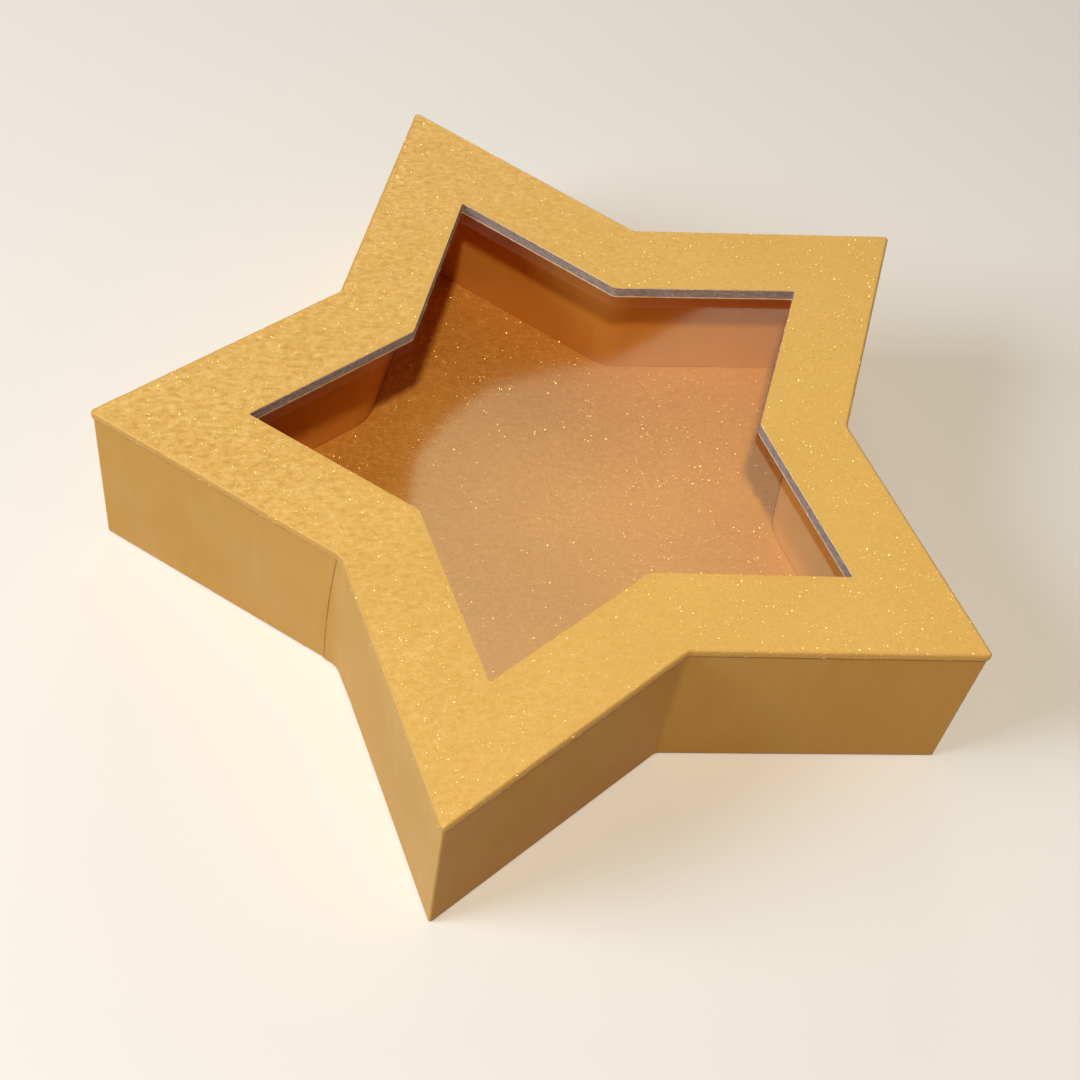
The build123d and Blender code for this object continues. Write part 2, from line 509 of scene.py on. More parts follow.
@dataclass(frozen=True)
class GlitterPaperFinish(Finish):
    """Gold foil paper with a crumpled fibrous grain, seen on the lid's top and the floor.

    Attributes:
        rim_painted_shade: Colour of the rounded edge, where the paper is turned down. It is
            painted shade, which dims the highlight that the lamps put on that edge.
        rim_shade_heights: Heights between which that painted shade starts.
        fibre_share: Strength of the fibres' colours.
        relief_light_shares: Strength of the painted highlight on ridges and crests, and of
        the painted shade in hollows.
    """

    name: str = "glitter_paper"
    gold: tuple = rgb(221, 172, 87)
    shade: tuple = rgb(190, 136, 57)
    light: tuple = rgb(248, 208, 136)
    # painted shade on the rounded edge, which dims the lamps' highlight there
    rim_painted_shade: tuple = rgb(195, 146, 72)
    rim_shade_heights: tuple = (39.2 * MM, 39.5 * MM)
    metallic: float = 0.25
    roughness: float = 0.52
    gloss: float = 0.3
    fibre_share: float = 0.22
    # painted highlight on ridges and crests, painted shade in hollows
    relief_light_shares: tuple = (0.26, 0.36, 0.42)
    grain_angle: float = math.radians(17)

    def surface(self, sketch: SurfaceSketch) -> dict[str, Value]:
        """Fibres everywhere; where the paper is crumpled, a painted highlight on ridges and
        crests and painted shade in hollows; painted shade on the rounded edge.

        Args:
            sketch: A sketch on the material's tree.

        Returns:
            The shader's inputs by name.
        """
        grain = sketch.grain(Fibre_Size=0.38 * MM, Fibre_Stretch=1.7, Lump_Size=1.0 * MM,
                             Ridge_Size=1.9 * MM, Direction=self.grain_angle)
        fibres, lumps = grain["Fibres"], grain["Lumps"]
        edge = sketch.edge()
        crumpled = sketch.add("ShaderNodeAttribute", {"attribute_name": "crumpled"}).outputs["Fac"]
        # Painted light of the crumpled relief: ridges and crests are painted lighter as highlights,
        # hollows darker as shade. The ridges also go into the bump.
        ridges = sketch.times(grain["Ridges"], crumpled)
        crest_highlight = sketch.times(sketch.span(lumps, 0.53, 0.7), crumpled)
        hollow_shade = sketch.times(sketch.span(lumps, 0.3, 0.47, 1.0, 0.0), crumpled)
        ridge_highlight_share, crest_highlight_share, hollow_shade_share = self.relief_light_shares
        # Painted shade on the top's rounded edge, which dims the highlight that the lamps put
        # there.
        rim_shading = sketch.times(sketch.span(edge["Inset"], -0.05 * MM, 0.35 * MM, 0.85, 0.0),
                                   sketch.span(edge["Height"], *self.rim_shade_heights))
        # The coats mix the grain, the relief's painted highlights and shade, a random tone and the
        # rim's painted shade.
        colour = sketch.coats(
            self.gold,
            (sketch.span(fibres, 0.34, 0.5, self.fibre_share, 0.0), self.shade),
            (sketch.span(fibres, 0.55, 0.7, 0.0, self.fibre_share), self.light),
            (sketch.times(ridges, ridge_highlight_share), self.light),
            (sketch.times(crest_highlight, crest_highlight_share), self.light),
            (sketch.times(hollow_shade, hollow_shade_share), self.shade),
            (sketch.span(grain["Tone"], 0.35, 0.7, 0.0, 0.12), self.shade),
            (rim_shading, self.rim_painted_shade))
        rough = sketch.span(lumps, 0.3, 0.7, self.roughness - 0.06, self.roughness + 0.08)
        crumple = sketch.math("MULTIPLY_ADD", ridges, 0.8, sketch.times(lumps, crumpled))
        height = sketch.plus(sketch.times(fibres, 0.4), sketch.times(lumps, 0.2))
        height = sketch.math("MULTIPLY_ADD", crumple, 0.75, height)
        return {"Base_Color": colour, "Roughness": rough, "Metallic": self.metallic,
                "Specular_IOR_Level": self.gloss, "Normal": sketch.bump(height, 0.45, 0.1 * MM)}


@dataclass(frozen=True)
class FlakeFinish(Finish):
    """The tiny bright flakes in the glitter paper."""

    name: str = "glitter_flake"
    gold: tuple = rgb(255, 224, 150)
    copper: tuple = rgb(250, 190, 104)

    def surface(self, sketch: SurfaceSketch) -> dict[str, Value]:
        """Metal that goes from gold to copper over a millimetre or so.

        Args:
            sketch: A sketch on the material's tree.

        Returns:
            The shader's inputs by name.
        """
        fibres = sketch.grain(Fibre_Size=0.9 * MM, Fibre_Stretch=1.0)["Fibres"]
        colour = sketch.coats(self.gold, (sketch.span(fibres, 0.4, 0.6), self.copper))
        return {"Base_Color": colour, "Roughness": 0.36, "Metallic": 0.9}


@dataclass(frozen=True)
class SatinWrapFinish(Finish):
    """Smooth satin gold paper with soft pale clouds, on the walls and the base."""

    name: str = "gold_wrap"
    gold: tuple = rgb(222, 169, 85)
    shade: tuple = rgb(204, 147, 67)
    pale: tuple = rgb(232, 187, 112)
    metallic: float = 0.04
    roughness: float = 0.46
    gloss: float = 0.06

    def surface(self, sketch: SurfaceSketch) -> dict[str, Value]:
        """Clouds and upright streaks, paler where the paper folds at its foot, and paler along
        its tips, partly as rubbed paper and partly as a painted highlight on the folded tip edges.

        Args:
            sketch: A sketch on the material's tree.

        Returns:
            The shader's inputs by name.
        """
        edge, place = sketch.edge(), sketch.object_place()
        grain = sketch.grain(Fibre_Size=0.5 * MM, Fibre_Stretch=1.5, Lump_Size=4.0 * MM)
        fibres = grain["Fibres"]
        clouds = sketch.noise(place, 42.0)
        streaks = sketch.noise(sketch.vector("MULTIPLY", place, in1=(1.0, 1.0, 0.12)), 420.0)
        worn_foot = sketch.times(sketch.span(edge["Height"], 0.45 * MM, 1.0 * MM, 0.5, 0.0),
                                 sketch.span(fibres, 0.45, 0.6))
        colour = sketch.coats(
            self.gold,
            (sketch.span(clouds, 0.4, 0.7, 0.0, 0.45), self.pale),
            (sketch.span(streaks, 0.35, 0.65, 0.14, 0.0), self.shade),
            (worn_foot, self.pale),
            # paler along the tips: partly rubbed paper, partly a painted highlight on the folded
            # tip edges
            (sketch.span(edge["Along"], -0.2 * MM, 0.9 * MM, 0.45, 0.0), self.pale))
        rough = sketch.span(fibres, 0.3, 0.7, self.roughness - 0.04, self.roughness + 0.06)
        height = sketch.plus(sketch.times(streaks, 0.25),
                             sketch.plus(sketch.times(grain["Lumps"], 0.8),
                                         sketch.times(fibres, 0.12)))
        return {"Base_Color": colour, "Roughness": rough, "Metallic": self.metallic,
                "Specular_IOR_Level": self.gloss, "Normal": sketch.bump(height, 0.3, 0.08 * MM)}


@dataclass(frozen=True)
class TwoToneFinish(Finish):
    """A dull surface that wanders between two colours: the painted shade along the wrap's lap, and
    uncoated paper.

    Attributes:
        tones: The two colours.
        tone_span: Where the lumps change one into the other.
        lump_size: Size of the patches of colour.
        fibre_size: Width of the fibres.
        fibre_stretch: Length of the fibres against their width.
        roughness: Roughness of the surface.
        relief: Strength of the fibres' relief.
    """

    tones: tuple
    tone_span: tuple
    lump_size: float
    fibre_size: float
    fibre_stretch: float
    roughness: float
    relief: float

    def surface(self, sketch: SurfaceSketch) -> dict[str, Value]:
        """Patches of two colours under fine fibres.

        Args:
            sketch: A sketch on the material's tree.

        Returns:
            The shader's inputs by name.
        """
        grain = sketch.grain(Fibre_Size=self.fibre_size, Fibre_Stretch=self.fibre_stretch,
                             Lump_Size=self.lump_size)
        first, second = self.tones
        colour = sketch.coats(first, (sketch.span(grain["Lumps"], *self.tone_span), second))
        return {"Base_Color": colour, "Roughness": self.roughness,
                "Normal": sketch.bump(grain["Fibres"], self.relief, 0.05 * MM)}


@dataclass(frozen=True)
class GreyboardFinish(Finish):
    """Raw recycled greyboard: layered fibres, with dark and pale specks."""

    name: str = "greyboard"
    grey: tuple = rgb(152, 131, 117)
    shade: tuple = rgb(118, 100, 90)
    pale: tuple = rgb(182, 162, 142)

    def surface(self, sketch: SurfaceSketch) -> dict[str, Value]:
        """Flat layers with specks.

        Args:
            sketch: A sketch on the material's tree.

        Returns:
            The shader's inputs by name.
        """
        place = sketch.object_place()
        layers = sketch.noise(sketch.vector("MULTIPLY", place, in1=(0.35, 0.35, 1.6)),
                              1300.0, 3.0, 0.6, 0.4)
        specks = sketch.noise(place, 2100.0, 1.0, 0.4)
        colour = sketch.coats(self.shade, (sketch.span(layers, 0.35, 0.65), self.grey),
                              (sketch.span(specks, 0.64, 0.7, 0.0, 0.7), self.pale),
                              (sketch.span(specks, 0.3, 0.36, 0.7, 0.0), self.shade))
        height = sketch.plus(layers, sketch.times(specks, 0.5))
        return {"Base_Color": colour, "Roughness": 0.9,
                "Normal": sketch.bump(height, 0.6, 0.12 * MM)}


@dataclass(frozen=True)
class ClearFilmFinish(Finish):
    """Clear glossy film: it reflects more at a glancing view and lets the rest through.

    Attributes:
        facing_share: Share that it reflects when it is seen square on.
        roughness: Its roughness, which softens the edge of what it mirrors.
    """

    name: str = "clear_film"
    facing_share: float = 0.03
    roughness: float = 0.055

    def surface(self, sketch: SurfaceSketch) -> dict[str, Value]:
        """A mirror as see-through as a film is at each angle.

        Args:
            sketch: A sketch on the material's tree.

        Returns:
            The shader's inputs by name.
        """
        facing = sketch.add("ShaderNodeLayerWeight", Blend=0.5).outputs["Facing"]
        share = sketch.math("MULTIPLY_ADD", sketch.math("POWER", facing, 5.0),
                            1 - self.facing_share, self.facing_share)
        return {"Base_Color": (1.0, 1.0, 1.0, 1.0), "Roughness": self.roughness,
                "Metallic": 1.0, "Alpha": share}


# Meshes


def new_piece(name: str, points: list[Point], edges: list, faces: list) -> bpy.types.Object:
    """Make an object from plain mesh data and put it in the scene.

    Args:
        name: Name of the object and its mesh.
        points: Places of the points.
        edges: Edges, where no face gives them.
        faces: Faces.

    Returns:
        The object.
    """
    mesh = bpy.data.meshes.new(name)
    mesh.from_pydata(points, edges, faces)
    piece = bpy.data.objects.new(name, mesh)
    bpy.context.scene.collection.objects.link(piece)
    return piece


def sweep(name: str, section: list[SectionPoint], outline: StarOutline, per_edge: int,
          closed: bool) -> bpy.types.Object:
    """Sweep a cross-section round the star, from the middle outwards and back.

    Args:
        name: Name of the new object.
        section: The points of the section.
        outline: The star.
        per_edge: Steps along each straight edge.
        closed: Whether the section is a loop. If not, its ends meet in the middle.

    Returns:
        An object, shaded smooth, whose points carry their share of the relief.
    """
    vertices: list[Point] = []
    for point in section:
        vertices.extend(outline.ring(point, per_edge, CORNER_STEPS))
    rows = len(section)
    stations = len(vertices) // rows
    faces: list[tuple[int, ...]] = []
    for row in range(rows if closed else rows - 1):
        below, above = row * stations, (row + 1) % rows * stations
        for station in range(stations):
            following = (station + 1) % stations
            faces.append((below + station, below + following, above + following,
                          above + station))
    relief = [point.relief for point in section for _ in range(stations)]
    if not closed:
        for row, flip in ((0, True), (rows - 1, False)):
            centre = len(vertices)
            vertices.append((0.0, 0.0, section[row].height))
            relief.append(section[row].relief)
            for station in range(stations):
                pair = (row * stations + station, row * stations + (station + 1) % stations)
                faces.append((centre, *(reversed(pair) if flip else pair)))
    sheet = new_piece(name, vertices, [], faces)
    sheet.data.attributes.new("relief", "FLOAT", "POINT").data.foreach_set("value", relief)
    face_outwards(sheet)
    smooth(sheet)
    return sheet


def face_outwards(piece: bpy.types.Object) -> None:
    """Turn a closed mesh's faces outwards.

    Args:
        piece: The object with the mesh.
    """
    mesh = piece.data
    mesh.calc_loop_triangles()
    points = np.empty(len(mesh.vertices) * 3)
    mesh.vertices.foreach_get("co", points)
    corners = np.empty(len(mesh.loop_triangles) * 3, dtype=np.int32)
    mesh.loop_triangles.foreach_get("vertices", corners)
    a, b, c = (points.reshape(-1, 3)[corners[side::3]] for side in range(3))
    if np.einsum("ij,ij->i", a, np.cross(b, c)).sum() < 0:
        mesh.flip_normals()


def smooth(piece: bpy.types.Object, limit: float = math.radians(38)) -> None:
    """Shade a mesh smooth, with sharp edges where it folds by more than a limit."""
    piece.data.polygons.foreach_set("use_smooth", [True] * len(piece.data.polygons))
    piece.data.set_sharp_from_angle(angle=limit)


# Geometry Nodes trees


class TreeKind(Enum):
    """The Geometry Nodes trees of this file."""

    GLITTER_SHEET = "glitter_sheet"
    CUT_FIBRES = "cut_fibres"


class GrowingTree:
    """A Geometry Nodes tree with named inputs, run once on a piece and made a plain mesh."""

    def __init__(self, kind: TreeKind, sizes: dict[str, float], materials: list[str]) -> None:
        """Start the tree.

        Args:
            kind: Which tree it is.
            sizes: Names of the number inputs, each with its default.
            materials: Names of the material inputs.
        """
        self.tree = bpy.data.node_groups.new(kind.value, "GeometryNodeTree")
        face = self.tree.interface
        face.new_socket("Geometry", in_out="INPUT", socket_type="NodeSocketGeometry")
        for name, value in sizes.items():
            face.new_socket(name, in_out="INPUT",
                            socket_type="NodeSocketFloat").default_value = value
        face.new_socket("Seed", in_out="INPUT", socket_type="NodeSocketInt").default_value = 1
        for name in materials:
            face.new_socket(name, in_out="INPUT", socket_type="NodeSocketMaterial")
        face.new_socket("Geometry", in_out="OUTPUT", socket_type="NodeSocketGeometry")
        self.sketch = NodeSketch(self.tree)
        self.given = self.sketch.add("NodeGroupInput").outputs

    def scatter(self, points: Socket, body: Socket, way: Socket, swing: tuple[Value, Value],
                sizes: tuple[float, float], **chosen: Socket) -> Socket:
        """Place copies of a body on points, each turned and sized at random.

        Args:
            points: The points.
            body: The body to copy.
            way: Direction that each copy's own Z starts from.
            swing: Least and most turn from there.
            sizes: Least and most scale.
            chosen: Selection of the points, where not all are used.

        Returns:
            The copies as real geometry.
        """
        sketch, seed = self.sketch, self.given["Seed"]
        level = sketch.value("FunctionNodeAlignRotationToVector", {"axis": "Z"}, Vector=way)
        turn = sketch.value("FunctionNodeRandomValue", {"data_type": "FLOAT_VECTOR"},
                            Min=swing[0], Max=swing[1], Seed=seed)
        turned = sketch.value("FunctionNodeRotateRotation", {"rotation_space": "LOCAL"},
                              Rotation=level, Rotate_By=turn)
        size = sketch.value("FunctionNodeRandomValue", {"data_type": "FLOAT"}, in2=sizes[0],
                            in3=sizes[1], Seed=seed)
        copies = sketch.value("GeometryNodeInstanceOnPoints", Points=points, Instance=body,
                              Rotation=turned, Scale=size, **chosen)
        return sketch.value("GeometryNodeRealizeInstances", Geometry=copies)

    def paint(self, geometry: Socket, material: str, **chosen: Socket) -> Socket:
        """Give a geometry, or chosen faces of it, the material of a named input."""
        return self.sketch.value("GeometryNodeSetMaterial", Geometry=geometry,
                                 Material=self.given[material], **chosen)

    def attribute(self, name: str, kind: str) -> Socket:
        """Read an attribute of the piece."""
        return self.sketch.value("GeometryNodeInputNamedAttribute", {"data_type": kind},
                                 Name=name)

    def finish(self, *parts: Socket) -> None:
        """Join geometries and end the tree.

        Args:
            parts: The geometries.
        """
        joined = self.sketch.add("GeometryNodeJoinGeometry")
        for part in parts:
            self.tree.links.new(part, joined.inputs[0])
        self.sketch.add("NodeGroupOutput", Geometry=joined.outputs[0])

    def grow(self, piece: bpy.types.Object, values: dict[str, object]) -> None:
        """Run the tree on a piece and keep the result as its plain mesh, with no modifier.

        Args:
            piece: The object that the tree starts from.
            values: Values for the tree's inputs, by name.
        """
        modifier = piece.modifiers.new(self.tree.name, "NODES")
        modifier.node_group = self.tree
        for item in self.tree.interface.items_tree:
            if getattr(item, "in_out", "") == "INPUT" and item.name in values:
                modifier[item.identifier] = values[item.name]
        bpy.context.view_layer.update()
        graph = bpy.context.evaluated_depsgraph_get()
        grown = bpy.data.meshes.new_from_object(
            piece.evaluated_get(graph), preserve_all_data_layers=True, depsgraph=graph)
        piece.modifiers.remove(modifier)
        old = piece.data
        piece.data = grown
        bpy.data.meshes.remove(old)
        grown.name = piece.name


def build_glitter_sheet_tree() -> GrowingTree:
    """Relief and flakes on a sheet of glitter paper.

    Returns:
        The tree. It moves points with the relief attribute, scatters tilted flakes on
        them and gives the sheet, its cut edge and the flakes their materials.
    """
    grown = GrowingTree(TreeKind.GLITTER_SHEET, {
        "Bump Height": 0.1 * MM, "Bump Size": 3.0 * MM, "Crease Height": 0.05 * MM,
        "Crease Size": 1.2 * MM, "Crease Stretch": 2.6, "Calm Share": 0.3, "Grain Angle": 0.0,
        "Flakes Per Square Metre": 300000.0, "Flake Size": 0.16 * MM, "Flake Tilt": 0.5,
    }, ["Paper", "Cut Edge", "Flake"])
    sketch, given = grown.sketch, grown.given
    relief = grown.attribute("relief", "FLOAT")
    place = sketch.value("GeometryNodeInputPosition")
    turned, drawn = sketch.draw_out(place, given["Grain Angle"], given["Crease Stretch"])
    bumps = sketch.noise(turned, sketch.one_over(given["Bump Size"]))
    folds = sketch.noise(drawn, sketch.one_over(given["Crease Size"]), distortion=1.2)
    towards = sketch.vector("DOT_PRODUCT", place, in1=CRUMPLED_WAY)
    crumpled = sketch.math("MULTIPLY_ADD", sketch.span(towards, -30 * MM, 55 * MM),
                           sketch.minus(1.0, given["Calm Share"]), given["Calm Share"])
    share = sketch.times(relief, crumpled)
    marked = sketch.value("GeometryNodeStoreNamedAttribute", {"data_type": "FLOAT"},
                          Geometry=given["Geometry"], Name="crumpled", Value=share)
    lift = sketch.plus(
        sketch.times(sketch.minus(bumps, 0.5), given["Bump Height"]),
        sketch.times(sketch.minus(sketch.ridge(folds, 0.12), 0.35), given["Crease Height"]))
    offset = sketch.vector("SCALE", sketch.value("GeometryNodeInputNormal"),
                           Scale=sketch.times(lift, share))
    moved = sketch.value("GeometryNodeSetPosition", Geometry=marked, Offset=offset)
    papered = grown.paint(moved, "Paper")
    papered = grown.paint(papered, "Cut Edge", Selection=grown.attribute("cut", "BOOLEAN"))
    scattered = sketch.add("GeometryNodeDistributePointsOnFaces",
                           {"distribute_method": "RANDOM"}, Mesh=moved, Selection=relief,
                           Density=given["Flakes Per Square Metre"], Seed=given["Seed"]).outputs
    disc = sketch.value("GeometryNodeMeshCircle", {"fill_type": "NGON"}, Vertices=5,
                        Radius=given["Flake Size"])
    swing = tuple(sketch.vector("SCALE", (side, side, 3 * side), Scale=given["Flake Tilt"])
                  for side in (-1.0, 1.0))
    flakes = grown.scatter(scattered["Points"], disc, scattered["Normal"], swing, (0.55, 1.35))
    raised = sketch.value("GeometryNodeSetPosition", Geometry=flakes,
                          Offset=(0.0, 0.0, 0.05 * MM))
    grown.finish(grown.paint(raised, "Flake"), papered)
    return grown


def build_cut_fibres_tree() -> GrowingTree:
    """Short torn fibres along a cut paper edge.

    Returns:
        The tree. It follows the edges of the mesh that it is given.
    """
    grown = GrowingTree(TreeKind.CUT_FIBRES, {
        "Spacing": 0.5 * MM, "Fibre Length": 0.35 * MM, "Fibre Width": 0.05 * MM,
        "Kept Share": 0.5,
    }, ["Fibre"])
    sketch, given = grown.sketch, grown.given
    path = sketch.value("GeometryNodeMeshToCurve", Mesh=given["Geometry"])
    stops = sketch.add("GeometryNodeCurveToPoints", {"mode": "LENGTH"}, Curve=path,
                       Length=given["Spacing"]).outputs
    body = sketch.value("GeometryNodeMeshCone", Vertices=4, Side_Segments=2,
                        Radius_Top=sketch.times(given["Fibre Width"], 0.4),
                        Radius_Bottom=given["Fibre Width"], Depth=given["Fibre Length"])
    kept = sketch.value("FunctionNodeRandomValue", {"data_type": "BOOLEAN"},
                        Probability=given["Kept Share"], Seed=given["Seed"])
    swing = ((-0.5, -0.5, -3.0), (0.5, 0.5, 3.0))
    fibres = grown.scatter(stops["Points"], body, stops["Tangent"], swing, (0.4, 1.5),
                           Selection=kept)
    grown.finish(grown.paint(fibres, "Fibre"))
    return grown


# The workshop: finishes and trees that the sub-assemblies share


class Workshop:
    """The outline, the materials and the trees, made once for both sub-assemblies."""

    def __init__(self) -> None:
        """Build everything that the lid and the tray share."""
        self.outline = StarOutline()
        groups = SharedGroups(self.outline)
        paper = GlitterPaperFinish()
        self.grain_angle = paper.grain_angle
        self.glitter = paper.build(groups)
        self.flake = FlakeFinish().build(groups)
        # Painted shade: the same glitter paper as the top, made deeper and more orange for the
        # dimmer, warmer light inside the tray.
        self.shaded_floor_glitter = GlitterPaperFinish(
            name="floor_glitter_paper", gold=rgb(214, 143, 50), shade=rgb(190, 117, 38),
            light=rgb(238, 176, 90), fibre_share=0.4).build(groups)
        self.wrap = SatinWrapFinish().build(groups)
        # Painted shade: the same satin wrap as the lid's, made deeper and more orange for the dim,
        # warm light inside the box. It also covers the tray's base.
        self.shaded_tray_wrap = SatinWrapFinish(
            name="shaded_tray_wrap", gold=rgb(214, 141, 51), shade=rgb(196, 121, 39),
            pale=rgb(220, 154, 69)).build(groups)
        self.board = GreyboardFinish().build(groups)
        # Painted shade: the strip along the wrap's lapped end is dark brown for the shade in the
        # gap at the lap's edge.
        self.seam = TwoToneFinish(
            "seam_edge", (rgb(160, 108, 50), rgb(192, 138, 68)), (0.4, 0.65),
            lump_size=3.0 * MM, fibre_size=0.8 * MM, fibre_stretch=4.0, roughness=0.7,
            relief=0.3).build(groups)
        self.pale = TwoToneFinish(
            "pale_paper", (rgb(240, 214, 166), rgb(218, 182, 132)), (0.35, 0.65),
            lump_size=1.2 * MM, fibre_size=0.3 * MM, fibre_stretch=1.4, roughness=0.85,
            relief=0.4).build(groups)
        self.film = ClearFilmFinish().build(groups)
        self.sheet_tree = build_glitter_sheet_tree()
        self.fibre_tree = build_cut_fibres_tree()

    def grow_sheet(self, sheet: bpy.types.Object, paper: bpy.types.Material,
                   values: dict[str, object]) -> None:
        """Give a sheet of glitter paper its relief, flakes and materials.

        Args:
            sheet: The smooth sheet.
            paper: Material of its face.
            values: Sizes and seed for the tree.
        """
        shared = {"Grain Angle": self.grain_angle, "Crease Stretch": 1.5, "Flake Tilt": 0.72,
                  "Paper": paper, "Cut Edge": self.pale, "Flake": self.flake}
        self.sheet_tree.grow(sheet, {**shared, **values})

    @staticmethod
    def dress_nodes(dresses: dict[str, bpy.types.Material]) -> None:
        """Give CAD nodes their materials.

        Args:
            dresses: The material for each node's name.
        """
        for node, material in dresses.items():
            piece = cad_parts[node]
            if not piece.material_slots:
                piece.data.materials.append(material)
            for place in piece.material_slots:
                place.material = material
            LOG.info("dressed %s in %s", node, material.name)


# Sub-assemblies


@dataclass
class Lid:
    """The lid: board, lining, film, side wrap and the glitter paper over its top.

    Attributes:
        shop: Shared outline, materials and trees.
        window_border: Width of the frame round the window.
        window_tip_round: Radius of the window's tips.
        window_valley_round: Radius of the window's valleys.
        paper: Thickness of the glitter paper.
        paper_overhang: How far the turned-down paper stands outside the wrap.
        edge_round: Radius of the top's outer edge.
        edge_chamfer: Bevel inside the turned-down edge.
        edge_steps: Steps round the top's outer edge.
        cell: Size of the sheet's mesh cells.
        fibre_steps: Steps of the torn fibres' lines, along an edge and round a corner.
        seam_valley: Corner of the star where the wrap laps over itself.
        seam_reaches: Distance of the lap's end from that corner, low, half way and high.
        seam_width: Width of the dark strip of painted shade.
        seam_back: How far the dark strip reaches back over the lap's end.
        seam_proud: How far it stands out of the wrap.
        seam_sunk: How far it goes into the wrap.
        seam_steps: Steps up the dark strip.
    """

    shop: Workshop
    window_border: float = 17.2 * MM
    window_tip_round: float = 0.3 * MM
    window_valley_round: float = 2.0 * MM
    paper: float = 0.3 * MM
    paper_overhang: float = 0.35 * MM
    edge_round: float = 0.6 * MM
    edge_chamfer: float = 0.15 * MM
    edge_steps: int = 5
    cell: float = 0.46 * MM
    fibre_steps: tuple = (40, 4)
    seam_valley: int = 7
    seam_reaches: tuple = (3.0 * MM, 2.4 * MM, 0.7 * MM)
    seam_width: float = 0.4 * MM
    seam_back: float = 0.05 * MM
    seam_proud: float = 0.05 * MM
    seam_sunk: float = 0.04 * MM
    seam_steps: int = 60

    def build(self) -> None:
        """Make and dress every piece of the lid."""
        shop = self.shop
        self.build_top_paper()
        self.build_edge_fibres()
        self.build_seam_edge()
        shop.dress_nodes({
            "lid_top_board": shop.board, "lid_wall_board": shop.board,
            "lid_side_paper": shop.wrap, "lid_lining_paper": shop.pale,
            "window_film": shop.film})

    def top_section(self) -> list[SectionPoint]:
        """Section of the top paper, from the window out over the edge and back.

        Returns:
            The section, as a loop.
        """
        outline = self.shop.outline
        low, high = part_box("lid_top_paper")
        top, bottom = high[2], low[2]
        under = top - self.paper
        outer = -self.paper_overhang
        rim = outer + self.edge_round
        window = (self.window_tip_round, self.window_valley_round)
        section: list[SectionPoint] = []
        flat_steps = round((self.window_border - rim) / self.cell)
        for step in range(flat_steps + 1):
            inset = self.window_border + (rim - self.window_border) * step / flat_steps
            share = (inset - rim) / (self.window_border - rim)
            rounds = (outline.tip_round - rim, outline.valley_round + rim)
            rounds = (a * (1 - share) + b * share for a, b in zip(rounds, window))
            section.append(SectionPoint(inset, top, min(1.0, step / 3), *rounds))
        for step in range(1, self.edge_steps + 1):
            turn = math.pi / 2 * step / self.edge_steps
            section.append(outline.offset(rim - self.edge_round * math.sin(turn),
                                          top - self.edge_round * (1 - math.cos(turn)),
                                          1 - 0.5 * step / self.edge_steps))
        turned_end = top - self.edge_round
        inner = outer + self.paper
        section += [
            outline.offset(outer, turned_end + (bottom - turned_end) * 0.35, 0.45),
            outline.offset(outer, turned_end + (bottom - turned_end) * 0.7, 0.35),
            outline.offset(outer, bottom),
            outline.offset(inner, bottom),
            outline.offset(inner, under - self.edge_chamfer),
            outline.offset(inner + self.edge_chamfer, under),
            SectionPoint(self.window_border, under, 0.0, *window),
        ]
        return section

    def build_top_paper(self) -> None:
        """The glitter paper over the top, with its relief and flakes."""
        outline = self.shop.outline
        length = (outline.corner(0) - outline.corner(1)).length
        sheet = sweep("top_glitter_paper", self.top_section(), outline,
                      round(length / self.cell), True)
        self.mark_cut_edges(sheet)
        self.shop.grow_sheet(sheet, self.shop.glitter, {
            "Bump Height": 0.18 * MM, "Bump Size": 2.4 * MM, "Crease Height": 0.045 * MM,
            "Crease Size": 1.9 * MM, "Calm Share": 0.16, "Flakes Per Square Metre": 1700000.0,
            "Flake Size": 0.062 * MM, "Seed": 11,
        })
        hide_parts("lid_top_paper")
        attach(sheet, "lid")
        LOG.info("top paper: %d faces", len(sheet.data.polygons))

    def mark_cut_edges(self, sheet: bpy.types.Object) -> None:
        """Mark the faces where the paper is cut: in the window and under the turned edge.

        Args:
            sheet: The swept sheet.
        """
        low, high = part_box("lid_top_paper")
        cut = []
        for face in sheet.data.polygons:
            centre = face.center
            in_window = abs(face.normal.z) < 0.5 and centre.z > high[2] - self.paper
            in_window = in_window and face.normal.xy.dot(centre.xy) < 0
            under_turn = face.normal.z < -0.5 and centre.z < low[2] + 0.1 * self.paper
            cut.append(in_window or under_turn)
        sheet.data.attributes.new("cut", "BOOLEAN", "FACE").data.foreach_set("value", cut)

    def build_edge_fibres(self) -> None:
        """Torn fibres along the window's cut edges and the turned-down edge."""
        outline = self.shop.outline
        paper_low, paper_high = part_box("lid_top_paper")
        lining_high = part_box("lid_lining_paper")[1]
        window = (self.window_tip_round, self.window_valley_round)
        rings = [
            SectionPoint(self.window_border, paper_high[2] - 0.8 * self.paper, 0.0, *window),
            SectionPoint(self.window_border, lining_high[2] - 0.05 * MM, 0.0, *window),
            outline.offset(-self.paper_overhang, paper_low[2]),
        ]
        points: list[Point] = []
        edges: list[tuple[int, int]] = []
        for ring in rings:
            line = outline.ring(ring, *self.fibre_steps)
            first, count = len(points), len(line)
            points.extend(line)
            edges.extend((first + i, first + (i + 1) % count) for i in range(count))
        fibres = new_piece("window_edge_fibres", points, edges, [])
        self.shop.fibre_tree.grow(fibres, {"Seed": 5, "Fibre": self.shop.pale,
                                           "Kept Share": 0.35})
        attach(fibres, "lid")
        LOG.info("edge fibres: %d faces", len(fibres.data.polygons))

